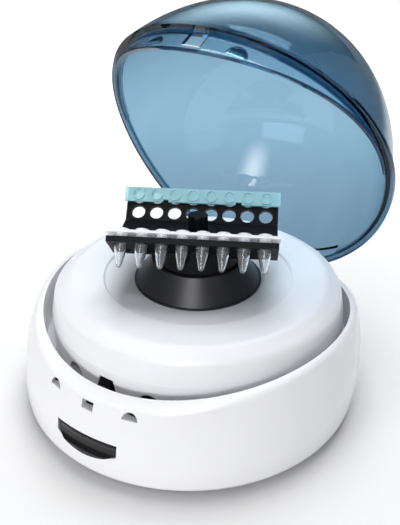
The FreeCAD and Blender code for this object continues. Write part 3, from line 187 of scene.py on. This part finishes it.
def newFinish(name, look):
    material = bpy.data.materials.new(name)
    material.use_nodes = True
    tree, link = material.node_tree.nodes, material.node_tree.links.new
    shader = tree["Principled BSDF"]
    surface = tree.new("ShaderNodeGroup")
    surface.node_tree = moulded
    surface.inputs["Colour"].default_value = (*look["colour"], 1)
    surface.inputs["Deep"].default_value = (*look["deep"], 1)
    surface.inputs["Rough"].default_value = look["rough"]
    surface.inputs["RoughSpread"].default_value = look.get("roughSpread", 0.05)
    surface.inputs["Mottle"].default_value = look.get("mottle", 30.0)
    surface.inputs["Grain"].default_value = look.get("grain", 900.0)
    link(surface.outputs["Roughness"], shader.inputs["Roughness"])
    if "edge" in look:
        # a clear wall seen at a slant is deeper, so its tint darkens there; the darkening also paints shade
        # on the grazing edges of the dome and the caps
        slant = tree.new("ShaderNodeLayerWeight")
        steep = tree.new("ShaderNodeMath")
        steep.operation = "POWER"
        steep.inputs[1].default_value = look["edgePower"]
        deeperTintAndShade = tree.new("ShaderNodeMix")
        deeperTintAndShade.data_type = "RGBA"
        deeperTintAndShade.inputs["B"].default_value = (*look["edge"], 1)
        link(slant.outputs["Facing"], steep.inputs[0])
        link(steep.outputs["Value"], deeperTintAndShade.inputs["Factor"])
        link(surface.outputs["Colour"], deeperTintAndShade.inputs["A"])
        tinted = deeperTintAndShade.outputs["Result"]
        if "rim" in look:
            band = tree.new("ShaderNodeGroup")
            band.node_tree = domeRimShade
            # over the dome the lip is painted paler, and the mask paints dark shade on the bead, the lip
            # edge and the half moons
            for mask, tint in (("Lip", look["lip"]), ("Mask", look["rim"])):
                outline = tree.new("ShaderNodeMix")
                outline.data_type = "RGBA"
                outline.inputs["B"].default_value = (*tint, 1)
                link(band.outputs[mask], outline.inputs["Factor"])
                link(tinted, outline.inputs["A"])
                tinted = outline.outputs["Result"]
        link(tinted, shader.inputs["Base Color"])
    else:
        link(surface.outputs["Colour"], shader.inputs["Base Color"])
    if "veil" in look:
        # the lamps shine through a clear wall
        ray = tree.new("ShaderNodeLightPath")
        veil = tree.new("ShaderNodeMath")
        veil.operation = "MULTIPLY_ADD"
        veil.inputs[1].default_value = look["veil"] - 1.0
        veil.inputs[2].default_value = 1.0
        link(ray.outputs["Is Shadow Ray"], veil.inputs[0])
        link(veil.outputs["Value"], shader.inputs["Alpha"])
    if look.get("bump"):
        bump = tree.new("ShaderNodeBump")
        bump.inputs["Strength"].default_value = look["bump"]
        bump.inputs["Distance"].default_value = bumpDepth
        link(surface.outputs["Height"], bump.inputs["Height"])
        link(bump.outputs["Normal"], shader.inputs["Normal"])
    for socket in ("Metallic", "Transmission Weight", "IOR", "Coat Weight", "Coat Roughness",
                   "Specular IOR Level", "Alpha"):
        if socket in look:
            shader.inputs[socket].default_value = look[socket]
    return material


finishes = {
    "whiteShell": dict(colour=(0.83, 0.83, 0.85), deep=(0.80, 0.80, 0.825), rough=0.24, mottle=14.0,
                       bump=0.02, **{"Coat Weight": 0.35, "Coat Roughness": 0.06}),
    "whiteCover": dict(colour=(0.82, 0.82, 0.845), deep=(0.78, 0.785, 0.82), rough=0.32, mottle=18.0,
                       bump=0.03, **{"Coat Weight": 0.15, "Coat Roughness": 0.15}),
    "greyPlate": dict(colour=(0.55, 0.56, 0.58), deep=(0.50, 0.51, 0.53), rough=0.5, bump=0.2),
    "rubberFoot": dict(colour=(0.02, 0.02, 0.02), deep=(0.035, 0.035, 0.035), rough=0.75, bump=0.4),
    "satinBlack": dict(colour=(0.011, 0.011, 0.013), deep=(0.018, 0.018, 0.021), rough=0.36, bump=0.08,
                       **{"Specular IOR Level": 0.5}),
    "rotorBlack": dict(colour=(0.004, 0.004, 0.005), deep=(0.007, 0.007, 0.008), rough=0.38, bump=0.05,
                       **{"Specular IOR Level": 0.10}),
    "glossBlack": dict(colour=(0.004, 0.004, 0.005), deep=(0.008, 0.008, 0.009), rough=0.16,
                       **{"Specular IOR Level": 0.35, "Coat Weight": 0.15, "Coat Roughness": 0.05}),
    # a black used only for the blocks that paint shade behind the rim openings
    "shadeBlack": dict(colour=(0.003, 0.003, 0.004), deep=(0.006, 0.006, 0.007), rough=0.5,
                     **{"Specular IOR Level": 0.1}),
    # the dome's rim tint is painted shade for its bead lines and half moons
    "blueDome": dict(colour=(0.198, 0.333, 0.44), deep=(0.177, 0.307, 0.414), rough=0.02, roughSpread=0.02,
                     mottle=6.0, edge=(0.02, 0.085, 0.14), edgePower=2.6,
                     lip=(0.62, 0.78, 0.87), rim=(0.018, 0.07, 0.14), veil=0.25,
                     **{"Transmission Weight": 1.0, "IOR": 1.42}),
    "clearTube": dict(colour=(0.93, 0.95, 0.97), deep=(0.88, 0.92, 0.95), rough=0.0, roughSpread=0.03,
                      veil=0.3, **{"Transmission Weight": 0.97, "IOR": 1.45}),
    # the caps' edge tint also paints shade on their slanted edges
    "cyanCap": dict(colour=(0.60, 0.87, 0.91), deep=(0.50, 0.80, 0.86), rough=0.06, veil=0.5,
                    edge=(0.16, 0.45, 0.49), edgePower=1.1, **{"Transmission Weight": 0.55, "IOR": 1.45}),
    "frostCap": dict(colour=(0.93, 0.93, 0.95), deep=(0.88, 0.89, 0.92), rough=0.30, veil=0.5,
                     **{"Transmission Weight": 0.25, "IOR": 1.42}),
    "brightSteel": dict(colour=(0.62, 0.62, 0.63), deep=(0.50, 0.50, 0.52), rough=0.25, Metallic=1.0),
    "zincSteel": dict(colour=(0.52, 0.52, 0.51), deep=(0.42, 0.42, 0.42), rough=0.38, mottle=220.0,
                      Metallic=1.0),
    "turnedAluminium": dict(colour=(0.70, 0.71, 0.72), deep=(0.58, 0.59, 0.60), rough=0.3, Metallic=1.0),
    "sinteredBronze": dict(colour=(0.48, 0.32, 0.15), deep=(0.36, 0.24, 0.11), rough=0.5, Metallic=1.0),
    "ferrite": dict(colour=(0.05, 0.05, 0.055), deep=(0.08, 0.08, 0.085), rough=0.6, bump=0.3),
    "laminations": dict(colour=(0.22, 0.21, 0.20), deep=(0.14, 0.13, 0.13), rough=0.5, Metallic=0.8),
    "circuitBoard": dict(colour=(0.015, 0.14, 0.06), deep=(0.01, 0.09, 0.04), rough=0.35, mottle=160.0),
}
materials = {name: newFinish(name, look) for name, look in finishes.items()}
print("finishes made:", len(materials))

nodeFinish = {
    "base_housing": "whiteShell", "top_cover": "whiteCover", "hinge_bracket": "whiteCover",
    "bottom_plate": "greyPlate", "rubber_feet": "rubberFoot", "motor_cone": "satinBlack",
    "strip_rotor": "rotorBlack", "hub_knob": "rotorBlack", "latch_slide": "rotorBlack",
    "release_button": "glossBlack", "power_inlet": "satinBlack", "switch_frame": "satinBlack",
    "rocker_key": "glossBlack", "motor_endcap": "satinBlack", "lid_dome": "blueDome",
    "tube_strip_front": "clearTube", "tube_strip_rear": "clearTube", "cap_strip_front": "frostCap",
    "cap_strip_rear": "cyanCap", "hinge_pin": "brightSteel", "motor_shaft": "brightSteel",
    "return_spring": "brightSteel", "motor_can": "zincSteel", "motor_bracket": "zincSteel",
    "inlet_nut": "zincSteel", "drive_hub": "turnedAluminium", "upper_bushing": "sinteredBronze",
    "lower_bushing": "sinteredBronze", "magnet_ring": "ferrite", "motor_armature": "laminations",
    "control_board": "circuitBoard", "housing_screws": "zincSteel", "board_screws": "zincSteel",
    "bracket_screws": "zincSteel", "motor_screws": "zincSteel", "hinge_screws": "zincSteel",
}


def paint(piece, finish):
    piece.data.materials.clear()
    piece.data.materials.append(materials[finish])


for name, finish in nodeFinish.items():
    paint(nodes[name], finish)
print("nodes painted:", len(nodeFinish))


# mesh helpers

def gridMesh(name, xs, ys, zs, wrapCols=False):
    # a grid of points, rows by columns, joined into four-sided faces, with columns closed round where asked
    rows, cols = xs.shape
    points = np.stack((xs, ys, zs), axis=-1).reshape(-1, 3)
    r, c = np.meshgrid(np.arange(rows - 1), np.arange(cols if wrapCols else cols - 1), indexing="ij")
    beside = (c + 1) % cols
    start, after = r * cols, (r + 1) * cols
    faces = np.stack((start + c, start + beside, after + beside, after + c), axis=-1).reshape(-1, 4)
    mesh = bpy.data.meshes.new(name)
    mesh.from_pydata(points.tolist(), [], faces.tolist())
    mesh.shade_smooth()
    mesh.validate()
    piece = bpy.data.objects.new(name, mesh)
    bpy.context.scene.collection.objects.link(piece)
    return piece


def slab(name, across, upright, front, back):
    # an outline in X and Z drawn in to its middle at both depths, so the block is closed
    around = len(across)
    middle = (np.full(around, across.mean()), np.full(around, upright.mean()))
    xs = np.stack((middle[0], across, across, middle[0]))
    zs = np.stack((middle[1], upright, upright, middle[1]))
    ys = np.repeat(np.array([back, back, front, front])[:, None], around, axis=1)
    return gridMesh(name, xs, ys, zs, wrapCols=True)


# black blocks behind the openings in the front rim, painted shade for the dark recesses behind them

pockets = dict(half=0.0029, low=0.0327, high=0.0363, front=-0.0810, back=-0.0764, moonPlace=0.020,
               moonRadius=0.0033, moonLow=0.0341, moonFront=-0.0782, moonBack=-0.0736, moonSteps=24)


def paintedShadeBlocks(look):
    # a square block in the middle, and on each side a half circle given by the cosine and sine of its turn
    square = np.array((-1.0, 1.0, 1.0, -1.0)) * look["half"]
    heights = np.array((look["low"], look["low"], look["high"], look["high"]))
    made = [slab("windowShadeBlock", square, heights, look["front"], look["back"])]
    turn = np.linspace(0, math.pi, look["moonSteps"])
    for side, name in ((-1, "leftMoonShadeBlock"), (1, "rightMoonShadeBlock")):
        across = side * look["moonPlace"] + look["moonRadius"] * np.cos(turn)
        heights = look["moonLow"] + look["moonRadius"] * np.sin(turn)
        made.append(slab(name, across, heights, look["moonFront"], look["moonBack"]))
    for piece in made:
        # the blocks are black, painted shade in the recesses
        piece.data.shade_flat()
        paint(piece, "shadeBlack")
        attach(piece, "base")


paintedShadeBlocks(pockets)
print("rim pockets made")


# return spring behind the latch; the real coil shortens as the release is pressed, but this coil is built at
# one length

spring = dict(wire=0.0004, turns=5, along=240, around=12, keep=0.74)


def coilSpring(look):
    # a round wire carried along a helix: the turn gives the place round the axis and an even climb along it,
    # and the wire's circle stands square to the helix and closes to a point at both ends
    low, high = (np.array(corner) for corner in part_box("return_spring"))
    middle = (low + high) / 2
    radius = (high[0] - low[0]) / 2 - look["wire"]
    climb = high[1] - low[1] - 2 * look["wire"]
    turn = np.linspace(0, 2 * math.pi * look["turns"], look["along"])[:, None]
    outward = np.stack((np.cos(turn), np.zeros_like(turn), np.sin(turn)), axis=-1)
    line = middle + radius * outward
    line[..., 1] = low[1] + look["wire"] + climb * turn / turn[-1]
    ahead = np.gradient(line, axis=0)
    ahead /= np.linalg.norm(ahead, axis=-1, keepdims=True)
    upright = np.cross(ahead, outward)
    around = np.linspace(0, 2 * math.pi, look["around"], endpoint=False)[None, :, None]
    skin = line + look["wire"] * (np.cos(around) * outward + np.sin(around) * upright)
    first, last = (np.repeat(line[end][None], look["around"], axis=1) for end in (0, -1))
    skin = np.concatenate((first, skin, last))
    coil = gridMesh("returnCoil", skin[..., 0], skin[..., 1], skin[..., 2], wrapCols=True)
    paint(coil, "brightSteel")
    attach(coil, "base")
    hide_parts("return_spring")
    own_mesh(coil)


coilSpring(spring)
print("return spring made")


# floor, backdrop, light and camera

stage = dict(half=3.0, back=2.2, rise=2.6, bend=0.9, rows=24, colour=(0.76, 0.76, 0.765),
             rough=0.9, gloss=0.1, glow=0.60, glowFrom=0.09, glowTo=0.48)


def sweepFloor(look):
    # a flat floor that turns up into a wall: depth and height follow a quarter circle between two straights
    turn = np.linspace(0, math.pi / 2, look["rows"])
    depth = np.concatenate(([-look["half"]], look["back"] + look["bend"] * np.sin(turn),
                            [look["back"] + look["bend"]]))
    height = np.concatenate(([0.0], look["bend"] * (1 - np.cos(turn)), [look["rise"]]))
    across = np.array([-look["half"], look["half"]])
    xs, ys = np.meshgrid(across, depth)
    zs = np.repeat(height[:, None], 2, axis=1)
    return gridMesh("backdrop", xs, ys, zs)


def backdropFinish(look):
    # pale floor that keeps the shadow; away from the object it also glows, where it is looked at
    material = bpy.data.materials.new("paleBackdrop")
    material.use_nodes = True
    tree, link = material.node_tree.nodes, material.node_tree.links.new
    shader = tree["Principled BSDF"]
    shader.inputs["Base Color"].default_value = (*look["colour"], 1)
    shader.inputs["Roughness"].default_value = look["rough"]
    shader.inputs["Specular IOR Level"].default_value = look["gloss"]
    shader.inputs["Emission Color"].default_value = (1, 1, 1, 1)
    place = tree.new("ShaderNodeTexCoord")
    reach = tree.new("ShaderNodeVectorMath")
    reach.operation = "LENGTH"
    fade = tree.new("ShaderNodeMapRange")
    fade.interpolation_type = "SMOOTHSTEP"
    fade.inputs["From Min"].default_value = look["glowFrom"]
    fade.inputs["From Max"].default_value = look["glowTo"]
    fade.inputs["To Max"].default_value = look["glow"]
    ray = tree.new("ShaderNodeLightPath")
    looked = tree.new("ShaderNodeMath")
    looked.operation = "MAXIMUM"
    glow = tree.new("ShaderNodeMath")
    glow.operation = "MULTIPLY"
    link(place.outputs["Object"], reach.inputs[0])
    link(reach.outputs["Value"], fade.inputs["Value"])
    link(ray.outputs["Is Camera Ray"], looked.inputs[0])
    link(ray.outputs["Is Transmission Ray"], looked.inputs[1])
    link(looked.outputs["Value"], glow.inputs[0])
    link(fade.outputs["Result"], glow.inputs[1])
    link(glow.outputs["Value"], shader.inputs["Emission Strength"])
    return material


backdrop = sweepFloor(stage)
backdrop.data.materials.append(backdropFinish(stage))

lamps = [
    dict(name="topSoftbox", place=(-0.14, 0.42, 1.15), size=(0.8, 0.8), power=17.0),
    dict(name="frontTop", place=(-0.30, -0.60, 1.10), size=(0.8, 0.8), power=1.4),
    dict(name="keySoftbox", place=(-0.08, -1.15, 0.24), size=(0.9, 0.30), power=7.6),
    dict(name="rightFill", place=(1.0, -0.45, 0.22), size=(0.5, 0.4), power=2.1),
]
lampAim = np.array((0.0, 0.0, 0.06))


def faceAim(holder, place):
    # sets a lamp or card at its place, turned to look at the aim
    away = np.array(place) - lampAim
    flat = math.hypot(away[0], away[1])
    holder.location = place
    holder.rotation_euler = (math.atan2(flat, away[2]), 0, math.atan2(away[0], -away[1]))


def hangLamp(look):
    lamp = bpy.data.lights.new(look["name"], "AREA")
    lamp.shape = "RECTANGLE"
    lamp.size, lamp.size_y = look["size"]
    lamp.energy = look["power"]
    holder = bpy.data.objects.new(look["name"], lamp)
    faceAim(holder, look["place"])
    holder.visible_glossy = False
    bpy.context.scene.collection.objects.link(holder)


for look in lamps:
    hangLamp(look)

cards = [
    dict(name="glareCard", place=(0.19, -0.58, 0.62), size=(0.46, 0.90), strength=12.0,
         tint=(1.0, 1.0, 1.0)),
    dict(name="rearCard", place=(-0.45, 1.00, 0.80), size=(1.5, 1.0), strength=4.2,
         tint=(0.58, 0.86, 1.0)),
    dict(name="skyCard", place=(-0.30, -0.20, 1.10), size=(1.2, 1.2), strength=1.3,
         tint=(1.0, 1.0, 1.0)),
]


def softCard(look):
    # a card that only gloss can see; it is brightest in its middle and fades to nothing at its edges
    half = np.array(look["size"]) / 2
    xs, ys = np.meshgrid((-half[0], half[0]), (-half[1], half[1]))
    card = gridMesh(look["name"], xs, ys, np.zeros_like(xs))
    faceAim(card, look["place"])
    material = bpy.data.materials.new(look["name"])
    material.use_nodes = True
    tree, link = material.node_tree.nodes, material.node_tree.links.new
    shader = tree["Principled BSDF"]
    shader.inputs["Base Color"].default_value = (0, 0, 0, 1)
    shader.inputs["Emission Color"].default_value = (*look["tint"], 1)
    place = tree.new("ShaderNodeTexCoord")
    parts = tree.new("ShaderNodeSeparateXYZ")
    link(place.outputs["Object"], parts.inputs["Vector"])
    power = tree.new("ShaderNodeMath")
    power.operation = "MULTIPLY"
    for index, axis in enumerate("XY"):
        side = tree.new("ShaderNodeMath")
        side.operation = "ABSOLUTE"
        fade = tree.new("ShaderNodeMapRange")
        fade.interpolation_type = "SMOOTHSTEP"
        fade.inputs["From Max"].default_value = half[index]
        fade.inputs["To Min"].default_value = math.sqrt(look["strength"])
        fade.inputs["To Max"].default_value = 0.0
        link(parts.outputs[axis], side.inputs[0])
        link(side.outputs["Value"], fade.inputs["Value"])
        link(fade.outputs["Result"], power.inputs[index])
    link(power.outputs["Value"], shader.inputs["Emission Strength"])
    card.data.materials.append(material)
    card.visible_camera = False
    card.visible_diffuse = False
    card.visible_transmission = False
    card.visible_shadow = False


for look in cards:
    softCard(look)

room = dict(colour=(0.97, 0.98, 1.0), light=0.15, seen=0.95)


def paleRoom(look):
    # the room lights the object a little, and looks pale where the camera sees past the floor
    world = bpy.data.worlds.new("paleRoom")
    bpy.context.scene.world = world
    world.use_nodes = True
    tree, link = world.node_tree.nodes, world.node_tree.links.new
    tree["Background"].inputs["Color"].default_value = (*look["colour"], 1)
    ray = tree.new("ShaderNodeLightPath")
    looked = tree.new("ShaderNodeMath")
    looked.operation = "MAXIMUM"
    level = tree.new("ShaderNodeMapRange")
    level.inputs["To Min"].default_value = look["light"]
    level.inputs["To Max"].default_value = look["seen"]
    link(ray.outputs["Is Camera Ray"], looked.inputs[0])
    link(ray.outputs["Is Transmission Ray"], looked.inputs[1])
    link(looked.outputs["Value"], level.inputs["Value"])
    link(level.outputs["Result"], tree["Background"].inputs["Strength"])


paleRoom(room)

shot = dict(azimuth=33.2, elevation=29.37, distance=0.32739, aim=(0.0, 0.0, 0.06285), lens=46.507,
            sensor=36.0, shiftX=0.0039, near=0.01, far=20.0)


def setCamera(look):
    # turned by the azimuth and lifted by the elevation, at the distance from the aim
    camera = bpy.data.cameras.new("shot")
    camera.lens = look["lens"]
    camera.sensor_width = look["sensor"]
    camera.shift_x = look["shiftX"]
    camera.clip_start = look["near"]
    camera.clip_end = look["far"]
    holder = bpy.data.objects.new("shot", camera)
    turn, lift = math.radians(look["azimuth"]), math.radians(look["elevation"])
    back = np.array((math.sin(turn) * math.cos(lift), -math.cos(turn) * math.cos(lift), math.sin(lift)))
    holder.location = np.array(look["aim"]) + look["distance"] * back
    holder.rotation_euler = (math.pi / 2 - lift, 0, turn)
    bpy.context.scene.collection.objects.link(holder)
    bpy.context.scene.camera = holder


setCamera(shot)
bpy.context.scene.view_settings.view_transform = "Standard"
print("stage, lamps and camera set")
